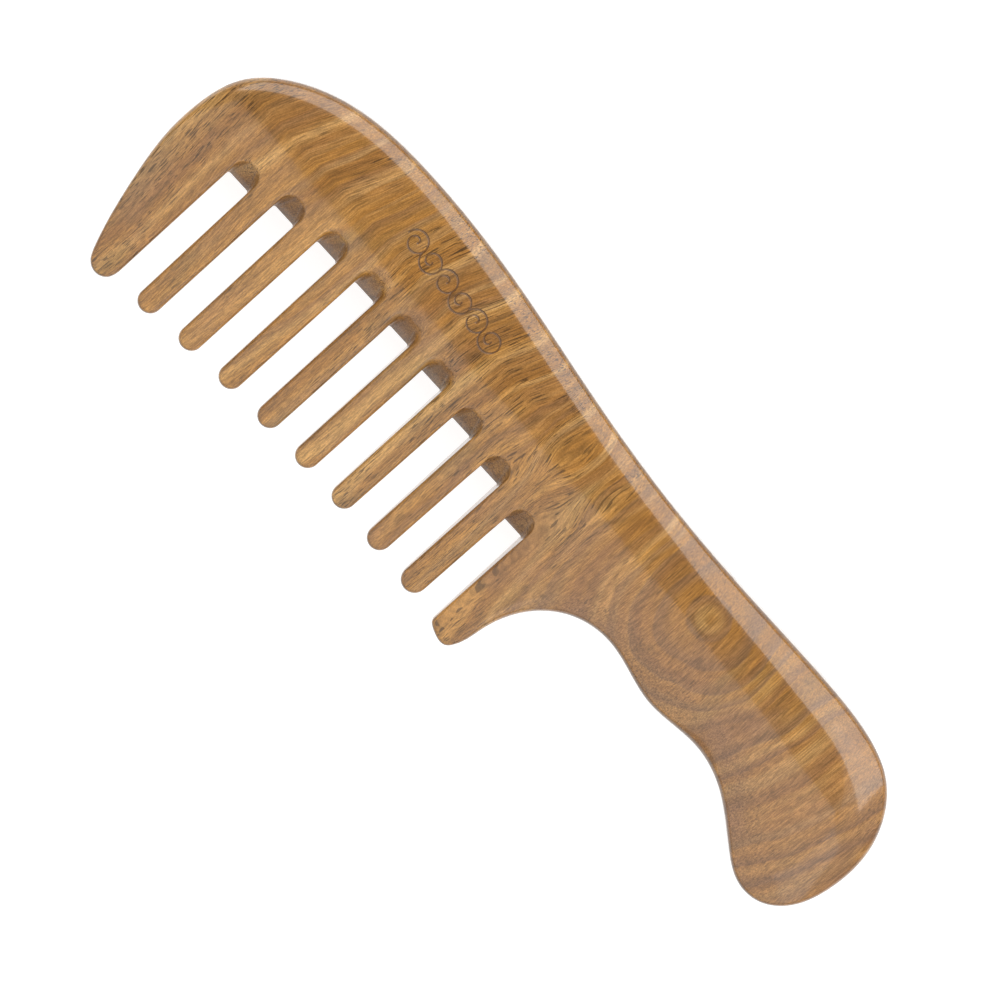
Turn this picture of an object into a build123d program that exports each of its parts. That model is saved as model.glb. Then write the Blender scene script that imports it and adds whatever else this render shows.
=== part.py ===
from build123d import *
import os

# Wide tooth comb, sawn and sanded out of one board of hardwood.
#
# Drawing frame, millimetres: X runs along the comb from the head end (x = 0) to the end of the
# handle, Y runs from the lowest tooth tip (y = 0) up to the spine, and Z is the thickness, with
# the middle of the board at z = 0. Everything is drawn there and moved at the end, so that the
# finished comb lies on z = 0 with the middle of its footprint at the origin.

# Driving dimensions
comb_length = 200.0
blade_thickness = 10.0
handle_thickness = 14.0
root_thickness = 9.0
tip_thickness = 4.6

# Row of thin teeth, numbered from the head
tooth_count = 8
tooth_pitch = 10.8
tooth_width = 5.2
last_tooth_width = 5.6
first_tooth_x = 22.0
gap_width = tooth_pitch - tooth_width
head_guard_edge = first_tooth_x - tooth_width / 2 - gap_width
handle_guard_edge = first_tooth_x + tooth_count * tooth_pitch - tooth_width / 2

# The tips of the thin teeth follow a shallow arch, highest at mid row
arch_x = 64.0
arch_y = 3.8
arch_drop = 0.0012

# Upper end of each gap at mid thickness, from the head to the handle. On both faces the end of
# the gap is scooped further up, as a rounded notch.
gap_tops = [32.7, 34.8, 36.2, 36.3, 35.5, 34.3, 32.3, 30.0, 26.4]
scoop_depth = 5.0

# Edge rounding
outer_round = 3.6
tooth_round = 1.2
head_guard_round = 2.0
handle_guard_corner = 1.2

# Planes on which the board is divided into its named features
stub = 1.0
neck_x = 118.0
neck_y = 21.0

# Outer edge of the board, one smooth curve from the inner side of the head guard tooth round its
# tip and the head, along the spine, round the handle and back along the grip to the tip of the
# handle guard tooth
outer_edge = [
    (head_guard_edge, 4.2), (12.9, 1.1), (10.7, 0.0), (8.4, 0.9), (6.9, 3.4), (5.1, 8.3),
    (2.3, 18.3), (0.35, 28.3), (0.3, 38.3), (2.5, 46.6),
    (8.4, 53.2), (21.0, 59.4), (40.4, 61.6), (64.4, 60.2), (92.0, 56.2), (120.0, 53.0),
    (144.0, 52.15), (168.0, 52.0), (180.4, 51.0), (190.4, 47.6), (196.5, 41.3), (199.5, 33.6),
    (199.7, 24.8), (197.0, 16.3), (192.3, 12.2), (186.4, 11.7), (180.4, 14.7), (168.4, 22.2),
    (160.0, 24.1), (147.0, 23.05), (133.0, 25.45), (124.0, 23.4), (117.5, 17.5), (114.1, 9.0),
    (112.5, 0.6),
]
handle_guard_foot = (handle_guard_edge, 1.5)

# Half thickness against y. The blade tapers from the back to the tips. The handle is a full palm
# swell, and the neck between them starts at the blade's own thickness.
blade_section = [
    (-6.0, tip_thickness / 2 - 0.4), (33.0, root_thickness / 2), (45.0, blade_thickness / 2),
    (75.0, blade_thickness / 2),
]
neck_section = [(5.0, 2.6), (20.0, 3.6), (32.0, 4.45), (45.0, 5.0), (62.0, 5.0)]
palm_section = [(5.0, 4.3), (20.0, 6.2), (32.0, handle_thickness / 2), (44.0, 6.5), (62.0, 4.6)]
end_section = [(5.0, 3.9), (20.0, 5.4), (32.0, 6.0), (44.0, 5.5), (62.0, 4.0)]
palm_x = 170.0
past_end = 10.0


def tooth_middle(number):
    """Middle of thin tooth number 0 to 7 along the comb."""
    return first_tooth_x + number * tooth_pitch


def gap_middle(number):
    """Middle of gap number 0 to 8 along the comb."""
    return first_tooth_x + (number - 0.5) * tooth_pitch


def tooth_top(number):
    """Height at which thin tooth number 0 to 7 leaves the back."""
    return min(gap_tops[number], gap_tops[number + 1]) - stub


def block(x_range, y_range):
    """A cutting block that runs through the whole thickness."""
    x_low, x_high = x_range
    y_low, y_high = y_range
    centre = Pos((x_low + x_high) / 2, (y_low + y_high) / 2)
    return centre * Box(x_high - x_low, y_high - y_low, handle_thickness * 2)


def make_board():
    """The sawn board with no gaps yet, thicker than the comb."""
    edge = Spline(*outer_edge)
    under = Polyline(outer_edge[-1], handle_guard_foot, (handle_guard_edge, neck_y), outer_edge[0])
    outline = make_face([edge, under])
    return Pos(0, 0, -handle_thickness) * extrude(outline, handle_thickness * 2)


def section_plane(x):
    """Plane across the comb at x, whose own axes are the comb's Y and Z."""
    return Plane(origin=(x, 0, 0), x_dir=(0, 1, 0), z_dir=(1, 0, 0))


def mirrored(upper):
    """The lower half of a thickness profile, running back the other way."""
    return [(y, -half) for y, half in reversed(upper)]


def smooth_section(x, upper):
    """Smooth thickness profile across the comb at x, the same above and below."""
    lower = mirrored(upper)
    sides = [Spline(*upper), Line(upper[-1], lower[0]), Spline(*lower), Line(lower[-1], upper[0])]
    return section_plane(x) * make_face(sides)


def blade_envelope():
    """Everything inside the taper of the blade and its teeth."""
    outline = Polyline(*blade_section, *mirrored(blade_section), close=True)
    return extrude(section_plane(0) * make_face(outline), comb_length)


def handle_envelope():
    """The palm swell, growing out of the blade's own thickness."""
    neck = smooth_section(neck_x, neck_section)
    palm = smooth_section(palm_x, palm_section)
    end = smooth_section(comb_length + past_end, end_section)
    return loft([neck, palm, end])


def gap_cutter(number):
    """One sawn gap, with the rounded scoops that end it on both faces."""
    middle = gap_middle(number)
    top = gap_tops[number]
    sides = (middle - gap_width / 2, middle + gap_width / 2)
    straight = top + scoop_depth - gap_width / 2
    slot = block(sides, (-gap_width, top))
    mouth = block(sides, (top, straight))
    mouth += Pos(middle, straight) * Cylinder(gap_width / 2, handle_thickness * 2)
    nose = Plane(origin=(middle, top + scoop_depth, 0), x_dir=(0, 1, 0), z_dir=(1, 0, 0))
    bullnose = extrude(nose * Ellipse(scoop_depth, blade_thickness / 2), gap_width, both=True)
    return slot + (mouth - bullnose)


def upright_edges(piece, below):
    """Edges that run straight through the thickness, lower down than a given height."""
    upright = [edge for edge in piece.edges() if abs((edge % 0.5).Z) > 0.9]
    return ShapeList(edge for edge in upright if (edge @ 0.5).Y < below)


def face_edges(piece, below):
    """Edges round the two faces of a piece, lower down than a given height."""
    flat = [edge for edge in piece.edges() if abs((edge @ 0.5).Z) > tip_thickness / 4]
    return ShapeList(edge for edge in flat if (edge @ 0.5).Y < below)


def make_back(blade):
    """The solid plate above the teeth, from the head to the neck, with a rounded spine."""
    plate = blade & block((-gap_width, neck_x), (neck_y, comb_length))
    plate -= block((-gap_width, gap_middle(0)), (0, gap_tops[0] - stub))
    for number in range(tooth_count):
        plate -= block((gap_middle(number), gap_middle(number + 1)), (0, tooth_top(number)))
    for number in range(tooth_count + 1):
        plate -= gap_cutter(number)
    rim = [edge for edge in plate.edges().filter_by(GeomType.BSPLINE) if abs((edge @ 0.5).Z) > 1]
    spine_edges = ShapeList(edge for edge in rim if edge.length > comb_length / 2)
    return fillet(spine_edges, outer_round)


def make_handle(board):
    """The handle from the neck to its end, domed on both faces."""
    blank = board & handle_envelope()
    blank &= block((neck_x, comb_length + past_end), (0, comb_length))
    blank -= block((neck_x - past_end, neck_x + past_end), (0, neck_y))
    long_edges = ShapeList(edge for edge in blank.edges() if edge.length > comb_length / 2)
    return fillet(long_edges, outer_round)


def make_head_guard(blade):
    """The wide outer tooth at the head."""
    top = gap_tops[0] - stub
    tooth = blade & block((-gap_width, head_guard_edge), (-gap_width, top))
    return fillet(face_edges(tooth, top - stub), head_guard_round)


def make_handle_guard(blade):
    """The wide outer tooth beside the handle."""
    tooth = blade & block((handle_guard_edge, palm_x), (-gap_width, neck_y))
    tooth = fillet(upright_edges(tooth, neck_y / 2), handle_guard_corner)
    return fillet(face_edges(tooth, neck_y - stub), tooth_round)


def make_tooth(number, envelope):
    """One thin tooth with a round tip and softened edges."""
    middle = tooth_middle(number)
    width = last_tooth_width if number == tooth_count - 1 else tooth_width
    top = tooth_top(number)
    tip = arch_y - arch_drop * (middle - arch_x) ** 2
    tooth = block((middle - width / 2, middle + width / 2), (tip + width / 2, top))
    tooth += Pos(middle, tip + width / 2) * Cylinder(width / 2, handle_thickness * 2)
    tooth &= envelope
    return fillet(face_edges(tooth, top - stub), tooth_round)


def main():
    board = make_board()
    envelope = blade_envelope()
    blade = board & envelope
    nodes = {
        "back": make_back(blade),
        "handle": make_handle(board),
        "head_guard_tooth": make_head_guard(blade),
        "handle_guard_tooth": make_handle_guard(blade),
    }
    for number in range(tooth_count):
        nodes[f"tooth_{number + 1}"] = make_tooth(number, envelope)

    box = Compound(list(nodes.values())).bounding_box()
    print("comb size", box.size, "middle", box.center())
    place = Pos(-box.center().X, -box.center().Y, -box.min.Z)
    os.makedirs("parts", exist_ok=True)
    for name, solid in nodes.items():
        export_step(place * solid, f"parts/{name}.step")


if __name__ == "__main__":
    main()
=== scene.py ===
"""Wide tooth comb in one piece of polished hardwood, on a plain pale floor.

The comb's form is worked out as one solid from the same few dimensions as the CAD model, meshed
once, and divided on the planes that divide the CAD nodes, so that the grain and the surface run
on without a break. Drawing units are millimetres, measured as in the CAD: x from the head end,
y from the lowest tooth tip, and z from the middle of the board.
"""

import math

import bmesh
import bpy
import numpy as np
import openvdb
from mathutils import Matrix, Vector, kdtree


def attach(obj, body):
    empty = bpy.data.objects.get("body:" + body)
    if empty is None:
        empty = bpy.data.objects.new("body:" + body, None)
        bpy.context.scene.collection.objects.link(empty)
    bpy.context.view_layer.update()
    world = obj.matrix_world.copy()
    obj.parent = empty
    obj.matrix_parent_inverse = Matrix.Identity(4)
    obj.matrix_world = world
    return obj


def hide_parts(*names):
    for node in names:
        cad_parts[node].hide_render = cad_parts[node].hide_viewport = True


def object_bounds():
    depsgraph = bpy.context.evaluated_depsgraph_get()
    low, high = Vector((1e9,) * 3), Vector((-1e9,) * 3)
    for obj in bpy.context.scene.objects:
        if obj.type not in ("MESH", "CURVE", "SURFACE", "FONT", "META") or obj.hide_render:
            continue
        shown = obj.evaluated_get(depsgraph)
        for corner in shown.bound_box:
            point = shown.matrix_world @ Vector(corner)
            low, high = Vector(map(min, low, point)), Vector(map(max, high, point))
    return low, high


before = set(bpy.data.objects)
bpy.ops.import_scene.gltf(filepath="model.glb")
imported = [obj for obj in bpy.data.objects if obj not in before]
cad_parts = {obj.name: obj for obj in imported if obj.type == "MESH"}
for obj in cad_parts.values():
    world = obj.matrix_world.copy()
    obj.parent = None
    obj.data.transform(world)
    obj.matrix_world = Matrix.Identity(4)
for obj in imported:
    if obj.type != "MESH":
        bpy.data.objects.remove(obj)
cad_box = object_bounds()

# Whole comb
comb_length = 200.0
comb_width = 61.6
metres = 0.001
box_middle = (np.array(cad_box[0]) + np.array(cad_box[1])) / 2
drawing_origin = box_middle / metres - np.array([comb_length / 2, comb_width / 2, 0])

# Row of thin teeth
tooth_count = 8
tooth_pitch = 10.8
tooth_width = 5.2
last_tooth_width = 5.6
first_tooth_x = 22.0
tooth_taper = 0.005
tooth_length = 30.0
tooth_round = 0.9
tooth_middles = first_tooth_x + tooth_pitch * np.arange(tooth_count)
tooth_halves = np.full(tooth_count, tooth_width / 2)
tooth_halves[-1] = last_tooth_width / 2
arch_x = 64.0
arch_y = 3.8
arch_drop = 0.0012
tooth_tips = arch_y - arch_drop * (tooth_middles - arch_x) ** 2

# Gaps, with a rounded scoop on both faces at the upper end of each. The rims of the scoops are
# sanded softer in the middle of the row.
gap_width = tooth_pitch - tooth_width
gap_tops = np.array([32.7, 34.8, 36.2, 36.3, 35.5, 34.3, 32.3, 30.0, 26.4])
gap_lefts = np.append(tooth_middles[0] - tooth_halves[0] - gap_width, tooth_middles + tooth_halves)
gap_rights = np.append(tooth_middles - tooth_halves, tooth_middles[-1] + tooth_pitch - tooth_width / 2)
gap_middles = (gap_lefts + gap_rights) / 2
gap_halves = (gap_rights - gap_lefts) / 2
scoop_depth = 5.0
scoop_rims = np.array([0.35, 0.4, 0.8, 1.4, 1.6, 1.4, 0.6, 0.35, 0.35])
gap_corner = 0.5

# Half thicknesses of the blade's back, the palm swell and the end of the handle, and the stretches
# of x over which each gives way to the next
back_half = 5.0
palm_half = 7.0
end_half = 6.2
into_palm = (108.0, 165.0)
into_end = (165.0, 205.0)

# Ridge along the comb below which the faces fall, nearly straight on the blade and in a curve on
# the handle, where the ridge itself bends down
ridge_y = 46.0
ridge_slope = 0.028
ridge_bend = 0.0006
ridge_bend_x = 110.0
tip_slope = 0.075
ridge_width = 1.6
blade_curve = 0.0002
palm_curve = 0.0014
sanding_waves = 0.035

# Edges. An onset is how gradually the bevel starts, as a share of its reach. The bevel falls
# partly straight and partly in a curve, each as a share of the height of the face over the wall.
edge_round = 0.9
bevel_straight = 0.4
bevel_curved = 0.45
bevel_onset = 0.18
head_onset = 0.6
out_of_head = (30.0, 75.0)

# Planes that divide the comb into its named features. The stub of each tooth stays on the back.
stub = 1.0
neck_x = 118.0
neck_y = 21.0

# Outer edge, from the inner side of the head guard tooth round the head, the spine, the handle and
# the grip to the foot of the handle guard tooth. Each row is x, y, how far the bevel reaches in
# from the edge, and the half height of the upright wall that is left outside the bevel.
outer_edge = [
    (13.8, 4.2, 1.3, 1.9), (12.9, 1.1, 1.4, 1.7), (10.7, 0.0, 1.5, 1.6), (8.4, 0.9, 1.6, 1.7),
    (6.9, 3.4, 1.8, 1.9), (5.1, 8.3, 2.0, 2.1), (2.3, 18.3, 2.4, 2.6), (0.35, 28.3, 2.8, 2.9),
    (0.3, 38.3, 3.2, 3.1), (2.5, 46.6, 3.6, 3.2), (8.4, 53.2, 4.0, 3.2), (21.0, 59.4, 4.5, 3.1),
    (40.4, 61.6, 4.6, 3.1), (64.4, 60.2, 4.6, 3.1), (92.0, 56.2, 4.6, 3.1),
    (120.0, 53.0, 5.0, 3.4), (144.0, 52.15, 6.0, 3.9), (168.0, 52.0, 7.2, 3.8),
    (180.4, 51.0, 8.2, 3.4), (190.4, 47.6, 9.8, 2.9), (196.5, 41.3, 10.5, 2.6),
    (199.5, 33.6, 10.5, 2.4), (199.7, 24.8, 10.0, 2.3), (197.0, 16.3, 9.0, 2.2),
    (192.3, 12.2, 8.0, 2.2), (186.4, 11.7, 7.5, 2.2), (180.4, 14.7, 7.5, 2.3),
    (168.4, 22.2, 7.5, 2.4), (160.0, 24.1, 7.5, 2.4), (147.0, 23.05, 7.5, 2.3),
    (133.0, 25.45, 7.0, 2.2), (124.0, 23.4, 5.5, 2.0), (117.5, 17.5, 3.5, 1.8),
    (114.1, 9.0, 1.8, 1.7), (112.6, 2.2, 1.4, 1.6), (111.5, 0.75, 1.3, 1.6),
    (107.3, 1.25, 1.2, 1.6), (106.1, 2.1, 1.2, 1.7), (105.8, 3.8, 1.2, 1.9),
]


def smooth_curve(points, step):
    """Natural cubic spline through the rows, at even steps of chord length in x and y."""
    points = np.array(points)
    spans = np.hypot(*np.diff(points[:, :2], axis=0).T)
    knots = np.append(0.0, np.cumsum(spans))
    count = len(points)
    system = np.eye(count)
    pull = np.zeros_like(points)
    for i in range(1, count - 1):
        system[i, i - 1:i + 2] = spans[i - 1], 2 * (spans[i - 1] + spans[i]), spans[i]
        pull[i] = 6 * ((points[i + 1] - points[i]) / spans[i] - (points[i] - points[i - 1]) / spans[i - 1])
    bend = np.linalg.solve(system, pull)
    along = np.arange(0, knots[-1], step)
    i = np.clip(np.searchsorted(knots, along, side="right") - 1, 0, count - 2)
    span = spans[i][:, None]
    right = ((along - knots[i]) / spans[i])[:, None]
    left = 1 - right
    sag = ((left ** 3 - left) * bend[i] + (right ** 3 - right) * bend[i + 1]) * span ** 2 / 6
    return left * points[i] + right * points[i + 1] + sag


def smooth_step(value, low, high):
    """0 below low, 1 above high, and an S curve between."""
    t = np.clip((value - low) / (high - low), 0, 1)
    return t * t * (3 - 2 * t)


class EdgeMap:
    """Signed distance to the outer edge, with the bevel and wall there, read anywhere in plan."""

    pitch = 0.15
    margin = 1.5
    deep_inside = -14.0

    def __init__(self):
        curve = smooth_curve(outer_edge, 0.1)
        ahead = np.gradient(curve[:, :2], axis=0)
        ahead /= np.linalg.norm(ahead, axis=1)[:, None]
        outward = np.column_stack([-ahead[:, 1], ahead[:, 0]])
        tree = kdtree.KDTree(len(curve))
        for number, row in enumerate(curve):
            tree.insert((row[0], row[1], 0), number)
        tree.balance()
        self.low = curve[:, :2].min(axis=0) - self.margin
        high = curve[:, :2].max(axis=0) + self.margin
        counts = np.ceil((high - self.low) / self.pitch).astype(int) + 1
        x = self.low[0] + self.pitch * np.arange(counts[0])
        y = self.low[1] + self.pitch * np.arange(counts[1])
        places = np.stack(np.meshgrid(x, y, indexing="ij"), axis=-1).reshape(-1, 2)
        nearest = np.array([tree.find((px, py, 0))[1] for px, py in places.tolist()])
        away = places - curve[nearest, :2]
        distance = np.hypot(*away.T) * np.sign((away * outward[nearest]).sum(axis=1))
        in_row = (places[:, 0] > gap_middles[0]) & (places[:, 0] < gap_middles[-1])
        below_back = places[:, 1] < gap_tops.max() + scoop_depth
        distance[in_row & below_back] = self.deep_inside
        self.layers = np.column_stack([distance, curve[nearest, 2:]]).reshape(*counts, 3)

    def read(self, x, y):
        """Distance, bevel reach and wall at each place, blended between the map's nodes."""
        spot = [(x - self.low[0]) / self.pitch, (y - self.low[1]) / self.pitch]
        cell = [np.clip(s.astype(int), 0, n - 2) for s, n in zip(spot, self.layers.shape)]
        (i, j), (u, v) = cell, [(s - c)[..., None] for s, c in zip(spot, cell)]
        low = self.layers[i, j] * (1 - u) + self.layers[i + 1, j] * u
        high = self.layers[i, j + 1] * (1 - u) + self.layers[i + 1, j + 1] * u
        return np.moveaxis(low * (1 - v) + high * v, -1, 0)


edge_map = EdgeMap()


def half_thickness(x, y):
    """Half thickness before the edges are rounded: flat near the spine, falling towards the teeth."""
    ridge = ridge_y - ridge_slope * x - ridge_bend * np.maximum(x - ridge_bend_x, 0) ** 2
    below = np.maximum(ridge - y, 0)
    in_palm = smooth_step(x, *into_palm)
    fall = tip_slope * (np.hypot(below, ridge_width) - ridge_width)
    fall += (blade_curve + palm_curve * in_palm) * below ** 2
    palm = palm_half + (end_half - palm_half) * smooth_step(x, *into_end)
    waves = np.sin(x / 4.3 + 0.8 * np.sin(y / 6.0)) * np.cos(y / 5.5 + x / 29.0)
    return back_half + (palm - back_half) * in_palm - fall + sanding_waves * (waves - 1)


def bevel(x, distance, reach, drop):
    """How far the face falls below its own height on the bevel, more gradually at the head."""
    onset = head_onset + (bevel_onset - head_onset) * smooth_step(x, *out_of_head)
    t = np.hypot(np.clip(1 + distance / reach, 0, 1), onset) - onset
    t /= np.hypot(1, onset) - onset
    return drop * t * (bevel_straight + bevel_curved * t)


def rounded(inset, over, radius):
    """Rounding between a side wall and a face: below zero inside the wood."""
    return np.hypot(np.maximum(radius - inset, 0), np.maximum(radius + over, 0)) - radius


def gap_inset(x, y, z, half):
    """How far a place is from the nearest gap, and how round the edge of the gap is there.

    The gap has square corners at mid thickness, and is longer and round-ended at the faces.
    """
    number = np.abs(x[..., None] - gap_middles).argmin(axis=-1)
    t = np.clip(np.abs(z) / half, 0, 1)
    top = gap_tops[number] + scoop_depth * t ** 1.2
    width = gap_halves[number] + tooth_taper * np.maximum(gap_tops[number] - y, 0) / 2
    corner = gap_corner + (width - gap_corner) * t ** 1.5
    across = np.abs(x - gap_middles[number]) - (width - corner)
    above = y - (top - corner)
    inset = np.hypot(np.maximum(across, 0), np.maximum(above, 0)) - corner
    inset += np.minimum(np.maximum(across, above), 0)
    scooped = smooth_step(y, gap_tops[number] - 4, gap_tops[number] + 1)
    return inset, tooth_round + (scoop_rims[number] - tooth_round) * scooped


def tooth_tip_inset(x, y):
    """How far inside the round tip of the nearest thin tooth a place is, or far inside above it."""
    number = np.abs(x[..., None] - tooth_middles).argmin(axis=-1)
    radius = tooth_halves[number] - tooth_taper * tooth_length / 2
    below = np.minimum(y - tooth_tips[number] - radius, 0)
    inset = radius - np.hypot(x - tooth_middles[number], below)
    tipped = (below < 0) & (x > gap_middles[0]) & (x < gap_middles[-1])
    return np.where(tipped, inset, comb_width)


def wood(x, y, z, cut=None):
    """The comb as a field in millimetres: below zero inside the wood, above zero outside.

    The cut is an ornament that lowers the upper face.
    """
    half = half_thickness(x, y)
    over = np.abs(z) - half
    if cut is not None:
        over += np.where(z > 0, cut.depth(x, y), 0)
    distance, reach, wall = edge_map.read(x, y)
    bevelled = over + bevel(x, distance, reach, np.maximum(half - wall, 0))
    outer = rounded(-distance, bevelled, edge_round)
    inset, soft = gap_inset(x, y, z, half)
    gaps = rounded(inset, over, soft)
    tips = rounded(tooth_tip_inset(x, y), over, tooth_round)
    return np.maximum(np.maximum(outer, gaps), tips)


def gradient(points, cut=None, reach=0.03):
    """Slope of the field at each point, by differences."""
    slope = np.empty_like(points)
    for axis in range(3):
        shift = np.zeros(3)
        shift[axis] = reach
        rise = wood(*(points + shift).T, cut) - wood(*(points - shift).T, cut)
        slope[:, axis] = rise / (2 * reach)
    return slope


def settle(points, cut=None, rounds=4, longest=0.12):
    """Move points along the slope of the field until they lie on the surface."""
    points = points.copy()
    for _ in range(rounds):
        slope = gradient(points, cut)
        step = wood(*points.T, cut) / np.maximum((slope ** 2).sum(axis=1), 0.05)
        points -= slope * np.clip(step, -longest, longest)[:, None]
    return points


def mesh_comb(voxel):
    """Mesh the whole comb: points in drawing millimetres, and quads."""
    low = np.array([-1.0, -1.0, -palm_half - 1.0])
    high = np.array([comb_length + 1.0, comb_width + 1.0, palm_half + 1.0])
    axes = [np.arange(a, b, voxel) for a, b in zip(low, high)]
    x, y = np.meshgrid(axes[0], axes[1], indexing="ij")
    layers = [wood(x, y, np.full_like(x, z)) for z in axes[2]]
    grid = openvdb.FloatGrid(2.0)
    grid.copyFromArray(np.stack(layers, axis=-1).astype(np.float32))
    points, quads = grid.convertToQuads(isovalue=0.0)
    return settle(low + points.astype(float) * voxel), quads


class Ornament:
    """Running scroll cut into the upper face, a wave of curls with no lettering in it."""

    middle = np.array([60.4, 49.6])
    lean = math.radians(-6.0)
    curls = 6
    curl_radius = 2.4
    turns = 1.0
    groove_half = 0.22
    groove_depth = 0.2
    margin = 1.5
    pitch = 0.06

    def __init__(self):
        line = np.concatenate([self.curl(number) for number in range(self.curls)])
        tree = kdtree.KDTree(len(line))
        for number, (x, y) in enumerate(line):
            tree.insert((x, y, 0), number)
        tree.balance()
        self.low = line.min(axis=0) - self.margin
        high = line.max(axis=0) + self.margin
        x, y = [np.arange(a, b, self.pitch) for a, b in zip(self.low, high)]
        self.map = np.array([[tree.find((px, py, 0))[2] for py in y] for px in x])

    def curl(self, number):
        """One half turn of the wave, which then winds inwards."""
        angle = np.arange(0, math.pi * (1 + 2 * self.turns), 0.02)
        wound = np.maximum(angle - math.pi, 0) / (2 * math.pi * self.turns)
        radius = self.curl_radius * (1 - 0.86 * wound)
        side = 1 if number % 2 == 0 else -1
        start = (2 * number - self.curls + 1) * self.curl_radius
        x = start - radius * np.cos(angle)
        y = side * radius * np.sin(angle)
        c, s = math.cos(self.lean), math.sin(self.lean)
        return self.middle + np.column_stack([c * x - s * y, s * x + c * y])

    def away(self, x, y):
        """Distance from the line of the ornament, or a large number well outside it."""
        spot = [(x - self.low[0]) / self.pitch, (y - self.low[1]) / self.pitch]
        inside = np.ones_like(x, dtype=bool)
        for s, n in zip(spot, self.map.shape):
            inside &= (s >= 0) & (s < n - 1)
        i, j = [np.where(inside, s, 0).astype(int) for s in spot]
        u, v = np.where(inside, spot[0] - i, 0), np.where(inside, spot[1] - j, 0)
        low = self.map[i, j] * (1 - u) + self.map[i + 1, j] * u
        high = self.map[i, j + 1] * (1 - u) + self.map[i + 1, j + 1] * u
        return np.where(inside, low * (1 - v) + high * v, comb_length)

    def depth(self, x, y):
        """Depth of the cut at each place, round at the bottom and soft at the rim."""
        return self.groove_depth * np.clip(1 - (self.away(x, y) / self.groove_half) ** 2, 0, 1)


ornament = Ornament()


# ---------------------------------------------------------------- pieces


def column(number):
    """The range of x that holds thin tooth number 0 to 7."""
    return gap_middles[number], gap_middles[number + 1]


def tooth_top(number):
    """Height at which thin tooth number 0 to 7 leaves the back, as in the CAD."""
    return min(gap_tops[number], gap_tops[number + 1]) - stub


def slice_off(shell, axis, value, keep, x_range=(-1.0, comb_length + 1.0)):
    """Cut a closed shell on a plane across one axis, drop one side and close the cut."""
    low, high = x_range
    verts = [v for v in shell.verts if low < v.co.x < high]
    chosen = set(verts)
    edges = [e for e in shell.edges if e.verts[0] in chosen and e.verts[1] in chosen]
    faces = [f for f in shell.faces if all(v in chosen for v in f.verts)]
    plane_point = Vector((0, 0, 0))
    plane_point[axis] = value
    normal = Vector((0, 0, 0))
    normal[axis] = -keep
    cut = bmesh.ops.bisect_plane(
        shell, geom=verts + edges + faces, plane_co=plane_point, plane_no=normal, clear_outer=True
    )
    rim = [e for e in cut["geom_cut"] if isinstance(e, bmesh.types.BMEdge) and e.is_boundary]
    for cap in bmesh.ops.edgeloop_fill(shell, edges=rim)["faces"]:
        cap.smooth = False
        if cap.normal.dot(normal) < 0:
            cap.normal_flip()


def shell_of(points, quads, wanted):
    """A mesh of the quads whose middles are wanted."""
    chosen = quads[wanted(*points[quads].mean(axis=1).T)]
    used, renumbered = np.unique(chosen, return_inverse=True)
    mesh = bpy.data.meshes.new("shell")
    mesh.from_pydata(points[used].tolist(), [], renumbered.reshape(-1, 4).tolist())
    mesh.polygons.foreach_set("use_smooth", [True] * len(chosen))
    shell = bmesh.new()
    shell.from_mesh(mesh)
    bpy.data.meshes.remove(mesh)
    return shell


def surface_normals(mesh, points, cut):
    """Normals of the field at the corners of smooth faces, and each flat face's own elsewhere."""
    slope = gradient(points, cut)
    slope /= np.linalg.norm(slope, axis=1)[:, None]
    corners = np.empty(len(mesh.loops), dtype=np.int32)
    mesh.loops.foreach_get("vertex_index", corners)
    normals = slope[corners]
    for face in mesh.polygons:
        if not face.use_smooth:
            normals[face.loop_start:face.loop_start + face.loop_total] = face.normal
    return normals


def mark_grooves(mesh, points, cut):
    """Store how deep in the ornament's grooves each point is, from 0 to 1, for the material."""
    share = cut.depth(points[:, 0], points[:, 1]) / cut.groove_depth
    share = np.where(points[:, 2] > 0, share, 0).astype(np.float32)
    mesh.attributes.new("groove", "FLOAT", "POINT").data.foreach_set("value", share)


def finish_piece(shell, name, material, cut=None):
    """Turn a shell into a piece that stands for the CAD node of the same name."""
    mesh = bpy.data.meshes.new(name)
    shell.to_mesh(mesh)
    shell.free()
    points = np.empty(len(mesh.vertices) * 3, dtype=np.float32)
    mesh.vertices.foreach_get("co", points)
    points = points.reshape(-1, 3).astype(float)
    normals = surface_normals(mesh, points, cut)
    if cut is not None:
        mark_grooves(mesh, points, cut)
    placed = (points + drawing_origin) * metres
    mesh.vertices.foreach_set("co", placed.astype(np.float32).ravel())
    mesh.polygons.foreach_set("use_smooth", [True] * len(mesh.polygons))
    mesh.normals_split_custom_set(normals.tolist())
    mesh.materials.append(material)
    piece = bpy.data.objects.new(f"{name}_wood", mesh)
    bpy.context.scene.collection.objects.link(piece)
    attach(piece, "root")
    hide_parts(name)


def near_ornament(shell, reach):
    """The points of the upper face that lie within reach of the line of the ornament."""
    places = np.array([v.co for v in shell.verts])
    near = (places[:, 2] > 0) & (ornament.away(places[:, 0], places[:, 1]) < reach)
    return [v for v, chosen in zip(shell.verts, near) if chosen]


def engrave(shell):
    """Divide the faces along the ornament finely and settle them into its grooves."""
    for cuts, reach in ((2, 0.62), (1, 0.38)):
        near = set(near_ornament(shell, reach))
        edges = [e for e in shell.edges if near.issuperset(e.verts)]
        bmesh.ops.subdivide_edges(shell, edges=edges, cuts=cuts, use_grid_fill=True)
    moved = near_ornament(shell, 1.0)
    points = np.array([v.co for v in moved])
    for vert, place in zip(moved, settle(points, ornament)):
        vert.co = place


def make_thin_tooth(points, quads, number, material):
    low, high = column(number)
    top = tooth_top(number)
    shell = shell_of(points, quads, lambda x, y, z: (x > low) & (x < high) & (y < top + 2))
    slice_off(shell, 1, top, -1)
    finish_piece(shell, f"tooth_{number + 1}", material)


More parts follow.
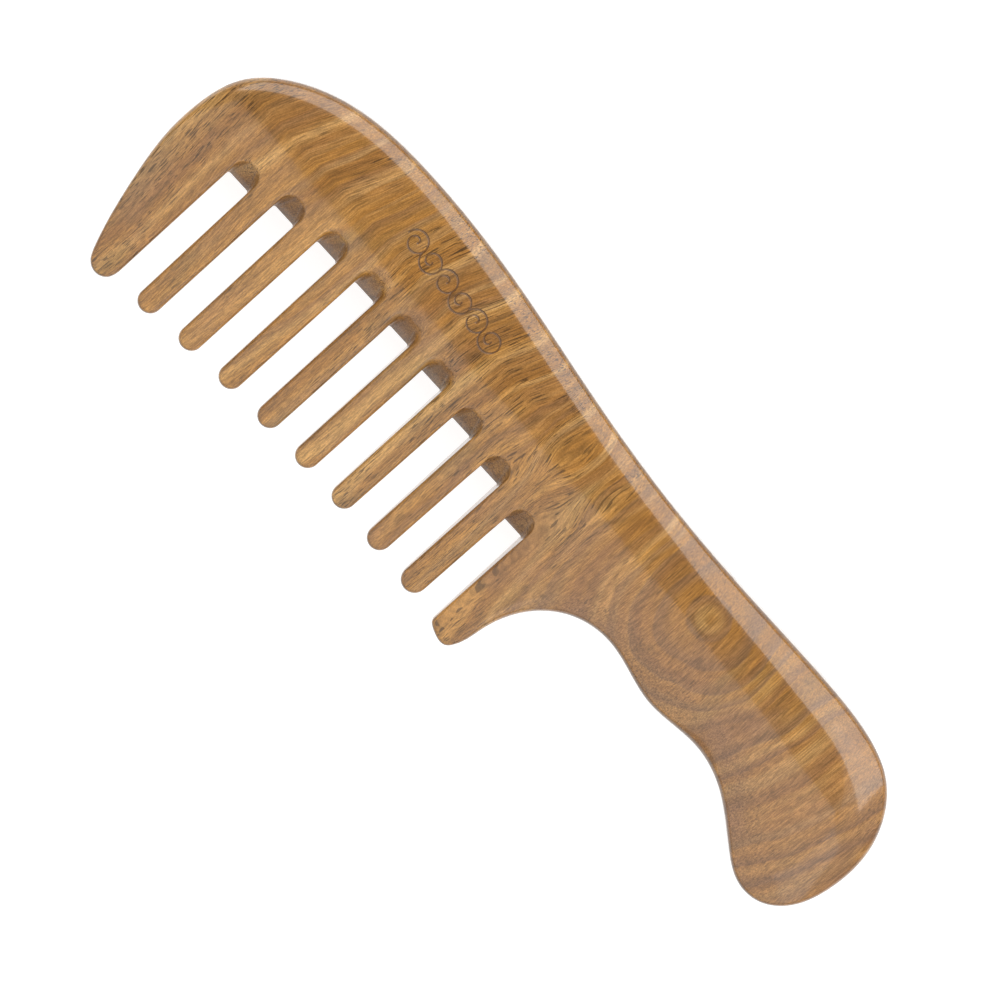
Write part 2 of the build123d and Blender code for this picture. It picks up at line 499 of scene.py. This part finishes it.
def make_head_guard(points, quads, material):
    top = gap_tops[0] - stub
    shell = shell_of(points, quads, lambda x, y, z: (x < gap_middles[0]) & (y < top + 2))
    slice_off(shell, 1, top, -1)
    finish_piece(shell, "head_guard_tooth", material)


def make_handle_guard(points, quads, material):
    low, high = gap_middles[-1], neck_x + 10
    shell = shell_of(points, quads, lambda x, y, z: (x > low) & (x < high) & (y < neck_y + 2))
    slice_off(shell, 1, neck_y, -1)
    finish_piece(shell, "handle_guard_tooth", material)


def make_handle(points, quads, material):
    shell = shell_of(points, quads, lambda x, y, z: (x > neck_x - 2) & ((y > neck_y - 2) | (x > 140)))
    slice_off(shell, 0, neck_x, 1)
    slice_off(shell, 1, neck_y, 1, (neck_x - 1, neck_x + 10))
    finish_piece(shell, "handle", material)


def make_back(points, quads, material):
    tops = [gap_tops[0] - stub] + [tooth_top(number) for number in range(tooth_count)] + [neck_y]
    tops = np.array(tops)
    shell = shell_of(
        points, quads,
        lambda x, y, z: (x < neck_x + 2) & (y > tops[np.searchsorted(gap_middles, x)] - 2)
    )
    slice_off(shell, 0, neck_x, -1)
    sides = [-5.0, *gap_middles, neck_x + 1]
    for top, low, high in zip(tops, sides, sides[1:]):
        slice_off(shell, 1, top, 1, (low, high))
    engrave(shell)
    finish_piece(shell, "back", material, ornament)


def make_comb(material):
    points, quads = mesh_comb(voxel=0.35)
    make_back(points, quads, material)
    make_handle(points, quads, material)
    make_head_guard(points, quads, material)
    make_handle_guard(points, quads, material)
    for number in range(tooth_count):
        make_thin_tooth(points, quads, number, material)


# ---------------------------------------------------------------- materials


class Graph:
    """Short ways to add shader nodes to one material."""

    def __init__(self, name):
        self.material = bpy.data.materials.new(name)
        self.material.use_nodes = True
        self.tree = self.material.node_tree
        self.shader = self.tree.nodes["Principled BSDF"]

    def put(self, value, socket):
        """Link a socket or set a plain value."""
        if isinstance(value, bpy.types.NodeSocket):
            self.tree.links.new(value, socket)
        else:
            socket.default_value = value

    def node(self, kind, *values, **settings):
        """Add a node, set its choices, and feed its first inputs."""
        made = self.tree.nodes.new(kind)
        for name, value in settings.items():
            setattr(made, name, value)
        for value, socket in zip(values, made.inputs):
            self.put(value, socket)
        return made

    def math(self, operation, *values):
        return self.node("ShaderNodeMath", *values, operation=operation).outputs[0]

    def stretch(self, place, across, along, deep):
        """A place with each axis scaled."""
        scaled = self.node("ShaderNodeVectorMath", place, (across, along, deep), operation="MULTIPLY")
        return scaled.outputs[0]

    def noise(self, place, detail=2.0, rough=0.5):
        """Noise between 0 and 1, about 0.5."""
        made = self.node("ShaderNodeTexNoise")
        self.put(place, made.inputs["Vector"])
        made.inputs["Scale"].default_value = 1.0
        made.inputs["Detail"].default_value = detail
        made.inputs["Roughness"].default_value = rough
        return made.outputs[0]

    def band(self, value, detail=2.0):
        """Noise along one number, between 0 and 1."""
        made = self.node("ShaderNodeTexNoise", noise_dimensions="1D")
        self.put(value, made.inputs["W"])
        made.inputs["Scale"].default_value = 1.0
        made.inputs["Detail"].default_value = detail
        return made.outputs[0]

    def ease(self, value, low, high, new_low=0.0, new_high=1.0):
        """Smoothly map low to high onto a new range, and clamp."""
        made = self.node("ShaderNodeMapRange", interpolation_type="SMOOTHSTEP")
        for socket, number in zip(made.inputs, (value, low, high, new_low, new_high)):
            self.put(number, socket)
        return made.outputs[0]

    def ramp(self, value, *stops):
        """Colour against a number: each stop is where, and a colour."""
        made = self.node("ShaderNodeValToRGB", value)
        elements = made.color_ramp.elements
        while len(elements) < len(stops):
            elements.new(0.5)
        for element, (where, colour) in zip(elements, stops):
            element.position = where
            element.color = (*colour, 1)
        return made.outputs[0]

    def scaled(self, colour, factor):
        """A colour made lighter or darker by a factor."""
        made = self.node("ShaderNodeVectorMath", colour, operation="SCALE")
        self.put(factor, made.inputs["Scale"])
        return made.outputs[0]

    def mix(self, share, first, second):
        """Mix two colours."""
        made = self.node("ShaderNodeMix", data_type="RGBA")
        for socket, value in zip((made.inputs[0], made.inputs[6], made.inputs[7]), (share, first, second)):
            self.put((*value, 1) if isinstance(value, tuple) else value, socket)
        return made.outputs[2]


# Figure of the wood, in drawing millimetres: the eye that the rings run round, the stretch of x
# where the blade's dark grain gives way to the handle's calmer one, and the feather at the neck
eye_x = 142.0
eye_y = 43.5
ring_spacing = 5.6
into_handle = (112.0, 126.0)
feather_x = 96.0
feather_pitch = 14.0
pore_dark = 0.38
groove_colour = (0.10, 0.045, 0.016)
end_grain_and_shade_colour = (0.110, 0.060, 0.029)


def drawing_place(graph):
    """Where a point of the comb is in drawing millimetres, the same for every piece."""
    spot = graph.node("ShaderNodeTexCoord").outputs["Object"]
    placed = graph.node("ShaderNodeMapping", spot)
    placed.inputs["Scale"].default_value = [1 / metres] * 3
    placed.inputs["Location"].default_value = -drawing_origin
    return placed.outputs[0]


def make_wood():
    """Oiled and polished hardwood with its fibres along the teeth."""
    graph = Graph("polished_wood")
    place = drawing_place(graph)
    fibres = follow_fibres(graph, place)
    rings = ring_number(graph, fibres)
    pores = pore_pattern(graph, fibres)
    fine = graph.noise(graph.stretch(place, 4.5, 3.0, 4.5), 1.0)
    colour = wood_colour(graph, fibres, rings)
    tone = graph.math("MULTIPLY", fibre_tone(graph, fibres), graph.ease(fine, 0.3, 0.7, 0.87, 1.13))
    colour = graph.scaled(colour, graph.math("MULTIPLY", tone, graph.ease(pores, 0.0, 1.0, 1.0, pore_dark)))
    # Dark end-grain colour across the fibres, which is also painted shade in the scooped roots of the gaps.
    end_grain_and_shade = graph.math("MULTIPLY", end_grain_and_root_shade_share(graph), 0.65)
    # Speckle on the end grain, with darker pores and lighter flecks. The lighter flecks are painted glints
    # of the polish.
    speckle_and_glints = graph.scaled(end_grain_and_shade_colour, graph.ease(fine, 0.3, 0.7, 0.2, 2.1))
    colour = graph.mix(end_grain_and_shade, colour, speckle_and_glints)
    groove = graph.node("ShaderNodeAttribute", attribute_name="groove").outputs["Fac"]
    colour = graph.mix(graph.math("MULTIPLY", groove, 0.85), colour, groove_colour)
    graph.put(colour, graph.shader.inputs["Base Color"])
    graph.put(graph.ease(fine, 0.3, 0.7, 0.28, 0.42), graph.shader.inputs["Roughness"])
    graph.shader.inputs["Specular IOR Level"].default_value = 0.35
    graph.shader.inputs["Coat Weight"].default_value = 1.0
    graph.shader.inputs["Coat Roughness"].default_value = 0.1
    height = graph.math("SUBTRACT", fine, graph.math("MULTIPLY", pores, 1.5))
    bump = graph.node("ShaderNodeBump")
    bump.inputs["Strength"].default_value = 0.45
    bump.inputs["Distance"].default_value = 0.02 * metres
    graph.put(height, bump.inputs["Height"])
    graph.put(bump.outputs[0], graph.shader.inputs["Normal"])
    return graph.material


def follow_fibres(graph, place):
    """Shift places along x so that whatever is stretched along y follows the slope of the fibres."""
    x, y, z = graph.node("ShaderNodeSeparateXYZ", place).outputs
    slow = graph.noise(graph.stretch(place, 0.04, 0.022, 0.04), 0.0)
    wander = graph.math("MULTIPLY", graph.math("SUBTRACT", slow, 0.5), 5.0)
    lean = graph.math("MULTIPLY", graph.math("MAXIMUM", graph.math("SUBTRACT", y, 47.0), 0.0), 0.32)
    lean = graph.math("MULTIPLY", lean, graph.ease(x, 84.0, 100.0, 1.0, 0.0))
    shift = graph.math("SUBTRACT", wander, lean)
    shift = graph.math("ADD", shift, graph.math("MULTIPLY", feathering(graph, x, y), 2.1))
    return graph.node("ShaderNodeCombineXYZ", graph.math("ADD", x, shift), y, z).outputs[0]


def feathering(graph, x, y):
    """Fibres that fan out like a feather where the blade runs into the handle."""
    wave = graph.math("MULTIPLY", graph.math("SUBTRACT", x, feather_x), math.tau / feather_pitch)
    wave = graph.math("COSINE", wave)
    across = graph.math("MULTIPLY", graph.ease(x, 86.0, 96.0), graph.ease(x, 108.0, 118.0, 1.0, 0.0))
    height = graph.math("TANH", graph.math("DIVIDE", graph.math("SUBTRACT", y, 39.0), 5.0))
    height = graph.math("MULTIPLY", height, graph.ease(y, 42.0, 62.0, 1.0, 0.0))
    return graph.math("MULTIPLY", graph.math("MULTIPLY", wave, across), height)


def ring_number(graph, place):
    """Distance from the eye of the figure, in millimetres: ovals round it, and streaks far off."""
    x, y, z = graph.node("ShaderNodeSeparateXYZ", place).outputs
    aside = graph.math("SUBTRACT", x, eye_x)
    above = graph.math("SUBTRACT", y, eye_y)
    left = graph.math("MAXIMUM", graph.math("MULTIPLY", aside, -1 / 28), 0.0)
    flatten = graph.math("ADD", graph.math("POWER", left, 2.0), 1.0)
    upright = graph.math("DIVIDE", graph.math("POWER", above, 2.0), flatten)
    span = graph.math("SQRT", graph.math("ADD", graph.math("POWER", aside, 2.0), upright))
    wobble = graph.noise(graph.stretch(place, 0.1, 0.07, 0.1), 1.0)
    span = graph.math("ADD", span, graph.math("MULTIPLY", wobble, 3.5))
    return graph.math("ADD", span, graph.math("MULTIPLY", z, 0.7))


def wood_colour(graph, place, rings):
    """Ochre, gold and brown bands along the growth rings, olive and rosy patches, and streaks, with a
    colour gradient down the face that is partly painted shade.
    """
    x, height = graph.node("ShaderNodeSeparateXYZ", place).outputs[:2]
    band = graph.band(graph.math("MULTIPLY", rings, 0.19), 3.0)
    contrast = graph.ease(x, *into_handle, 1.0, 1.6)
    band = graph.math("MULTIPLY_ADD", graph.math("SUBTRACT", band, 0.5), contrast, 0.5)
    colour = graph.ramp(
        band,
        (0.30, (0.29, 0.130, 0.032)),
        (0.44, (0.38, 0.175, 0.038)),
        (0.56, (0.445, 0.215, 0.050)),
        (0.70, (0.54, 0.290, 0.085)),
    )
    patch = graph.noise(graph.stretch(place, 0.15, 0.05, 0.1), 2.0)
    colour = graph.mix(graph.ease(patch, 0.52, 0.72, 0.0, 0.5), colour, (0.29, 0.18, 0.06))
    # Pinker grey lower on the handle: partly the wood's own rosy mottle, partly painted shade for the light
    # falling off down the face.
    colour = graph.mix(rosy_tone_and_shade_share(graph, place), colour, (0.295, 0.147, 0.068))
    # Deeper ochre towards the spine, from y 41 to 47 up: the top of the same gradient, partly the wood's
    # own tone and partly painted shade that makes the lower face duller.
    colour = graph.mix(graph.ease(height, 41.0, 47.0, 0.0, 0.5), colour, (0.31, 0.130, 0.018))
    pale = graph.ease(graph.band(graph.math("MULTIPLY", rings, 0.3), 1.0), 0.52, 0.72)
    pale = graph.math("MULTIPLY", pale, graph.ease(height, 40.0, 52.0, 0.1, 0.55))
    pale = graph.math("MULTIPLY", pale, graph.ease(x, 120.0, 150.0, 1.0, 0.0))
    colour = graph.mix(pale, colour, (0.62, 0.36, 0.13))
    colour = graph.mix(ring_lines(graph, rings, x), colour, (0.185, 0.095, 0.048))
    streak = graph.noise(graph.stretch(place, 0.9, 0.05, 0.7), 3.0, 0.6)
    streak = graph.math("MULTIPLY", graph.ease(streak, 0.48, 0.75), graph.ease(x, *into_handle, 0.55, 0.3))
    return graph.mix(streak, colour, (0.18, 0.09, 0.028))


def ring_lines(graph, rings, x):
    """Dark edges of the growth rings: even near the eye, uneven and some of them faint far off."""
    away = graph.ease(rings, 16.0, 34.0)
    uneven = graph.math("MULTIPLY", graph.band(graph.math("MULTIPLY", rings, 0.07), 0.0), 2.4)
    turns = graph.math("MULTIPLY", rings, 1 / ring_spacing)
    turns = graph.math("ADD", turns, graph.math("MULTIPLY", uneven, away))
    phase = graph.math("FRACT", turns)
    line = graph.math("MULTIPLY", graph.ease(phase, 0.25, 0.85), graph.ease(phase, 0.85, 0.97, 1.0, 0.0))
    faint = graph.ease(graph.band(graph.math("MULTIPLY", rings, 0.13), 0.0), 0.35, 0.65, 0.6, 0.0)
    strong = graph.math("SUBTRACT", 1.0, graph.math("MULTIPLY", faint, away))
    in_handle = graph.ease(x, 84.0, 160.0, 0.4, 0.66)
    return graph.math("MULTIPLY", line, graph.math("MULTIPLY", strong, in_handle))


def rosy_tone_and_shade_share(graph, place):
    """How pink and grey the colour is: the wood's own rosy mottle, more so at the end of the handle, and
    more so in the lower part, where it is partly painted shade for the light falling off down the face.
    """
    x, y = graph.node("ShaderNodeSeparateXYZ", place).outputs[:2]
    # Pinker below y 32 to 44 on the handle, which is partly painted shade, and towards the end of the
    # handle.
    zone = graph.math("MAXIMUM", graph.ease(y, 32.0, 44.0, 1.0, 0.0), graph.ease(x, 165.0, 190.0, 0.0, 0.9))
    zone = graph.math("MULTIPLY", zone, graph.ease(x, 104.0, 124.0))
    mottle = graph.noise(graph.stretch(place, 0.1, 0.06, 0.1), 2.0)
    share = graph.math("ADD", graph.math("MULTIPLY", zone, 0.45), graph.ease(mottle, 0.45, 0.75, 0.0, 0.5))
    return graph.math("MINIMUM", share, 0.9)


def fibre_tone(graph, place):
    """Lighter and darker fibres, about 1."""
    broad = graph.noise(graph.stretch(place, 1.5, 0.08, 1.5), 2.0, 0.6)
    narrow = graph.noise(graph.stretch(place, 5.0, 0.24, 5.0), 1.0)
    broad = graph.ease(broad, 0.3, 0.7, 0.9, 1.1)
    return graph.math("MULTIPLY", broad, graph.ease(narrow, 0.3, 0.7, 0.74, 1.24))


def pore_pattern(graph, place):
    """Fine dark dashes along the fibres, which show as dots on end grain."""
    dashes = graph.noise(graph.stretch(place, 4.2, 0.26, 4.2), 0.0)
    crowd = graph.noise(graph.stretch(place, 0.12, 0.035, 0.12), 1.0)
    x = graph.node("ShaderNodeSeparateXYZ", place).outputs[0]
    in_handle = graph.ease(x, *into_handle, 1.0, 0.5)
    share = graph.math("MULTIPLY", graph.ease(crowd, 0.38, 0.62, 0.2, 1.0), in_handle)
    return graph.math("MULTIPLY", graph.ease(dashes, 0.6, 0.7), share)


def end_grain_and_root_shade_share(graph):
    """1 where the surface cuts across the fibres, 0 where it runs along them.

    Surfaces facing down the teeth, at the scooped roots of the gaps, take it at less slope than the spine,
    so there it is also painted shade in those recesses.
    """
    facing = graph.node("ShaderNodeNewGeometry").outputs["Normal"]
    up = graph.node("ShaderNodeSeparateXYZ", facing).outputs[1]
    down = graph.math("MULTIPLY", up, -1.0)
    # The downward term, for the scooped gap roots, is partly painted shade.
    return graph.math("MAXIMUM", graph.ease(down, 0.5, 0.8), graph.ease(up, 0.64, 0.82))


# ---------------------------------------------------------------- floor, light and camera


def make_floor():
    """Plain white table, lit a little from within so that no hard shadow lies on it."""
    reach = 4
    corners = [(-reach, -reach, 0), (reach, -reach, 0), (reach, reach, 0), (-reach, reach, 0)]
    mesh = bpy.data.meshes.new("floor")
    mesh.from_pydata(corners, [], [(0, 1, 2, 3)])
    graph = Graph("white_table")
    graph.shader.inputs["Base Color"].default_value = (0.3, 0.3, 0.3, 1)
    graph.shader.inputs["Roughness"].default_value = 0.9
    graph.shader.inputs["Specular IOR Level"].default_value = 0.0
    graph.shader.inputs["Emission Color"].default_value = (1, 1, 1, 1)
    graph.shader.inputs["Emission Strength"].default_value = 0.9
    mesh.materials.append(graph.material)
    floor = bpy.data.objects.new("floor", mesh)
    bpy.context.scene.collection.objects.link(floor)


def make_world():
    """Soft surroundings, pale at the horizon and dim overhead."""
    horizon, overhead = 0.5, 0.06
    world = bpy.data.worlds.new("studio")
    bpy.context.scene.world = world
    world.use_nodes = True
    tree = world.node_tree
    height = tree.nodes.new("ShaderNodeSeparateXYZ")
    place = tree.nodes.new("ShaderNodeTexCoord")
    tree.links.new(place.outputs["Generated"], height.inputs[0])
    shade = tree.nodes.new("ShaderNodeMapRange")
    shade.interpolation_type = "SMOOTHSTEP"
    for socket, value in zip(list(shade.inputs)[1:5], (0.05, 0.5, horizon, overhead)):
        socket.default_value = value
    tree.links.new(height.outputs[2], shade.inputs[0])
    tree.links.new(shade.outputs[0], tree.nodes["Background"].inputs["Color"])


def make_softbox(name, side, nearest, farthest, width, radiance):
    """Large soft light on one side of the comb, which sees it between two angles from upright.

    Its radiance is how bright its face is, whatever its size, and its width is in metres.
    """
    reach = 0.9
    height = 2 * reach * math.tan((farthest - nearest) / 2)
    lean = (nearest + farthest) / 2
    light = bpy.data.lights.new(name, "AREA")
    light.shape = "RECTANGLE"
    light.size = width
    light.size_y = height
    light.energy = radiance * width * height * math.pi
    lamp = bpy.data.objects.new(name, light)
    away = Vector((math.cos(side) * math.sin(lean), math.sin(side) * math.sin(lean), math.cos(lean)))
    lamp.location = Vector(box_middle) + away * reach
    lamp.rotation_mode = "QUATERNION"
    lamp.rotation_quaternion = away.to_track_quat("Z", "Y")
    lamp.visible_camera = False
    bpy.context.scene.collection.objects.link(lamp)


def make_lights():
    """Softboxes on the tooth side, the spine side and the handle side, with a dark gap overhead."""
    softboxes = {
        "tooth_side_light": (-90, 10, 66, 2.2, 0.97),
        "spine_side_light": (90, 16, 61, 2.0, 2.7),
        "handle_side_light": (5, 28, 66, 1.2, 0.5),
    }
    for name, (side, nearest, farthest, width, radiance) in softboxes.items():
        angles = [math.radians(angle) for angle in (side, nearest, farthest)]
        make_softbox(name, *angles, width, radiance)


def make_camera():
    """Camera almost straight above, with the comb lying slantwise in the picture."""
    aim = np.array([97.35, 28.31, 0])
    turn = math.radians(42.3)
    tilt = math.radians(8.0)
    distance = 0.7
    right = Vector((math.sin(turn), math.cos(turn), 0))
    up_page = Vector((-math.cos(turn), math.sin(turn), 0))
    back = up_page * math.sin(tilt) + Vector((0, 0, math.cos(tilt)))
    up = back.cross(right)
    camera_data = bpy.data.cameras.new("camera")
    camera_data.lens = 127.5
    camera_data.clip_start = 0.01
    camera = bpy.data.objects.new("camera", camera_data)
    camera.location = Vector((aim + drawing_origin) * metres) + back * distance
    camera.rotation_mode = "QUATERNION"
    camera.rotation_quaternion = Matrix((right, up, back)).transposed().to_quaternion()
    bpy.context.scene.collection.objects.link(camera)
    bpy.context.scene.camera = camera


make_comb(make_wood())
make_floor()
make_world()
make_lights()
make_camera()
bpy.context.scene.view_settings.view_transform = "Standard"
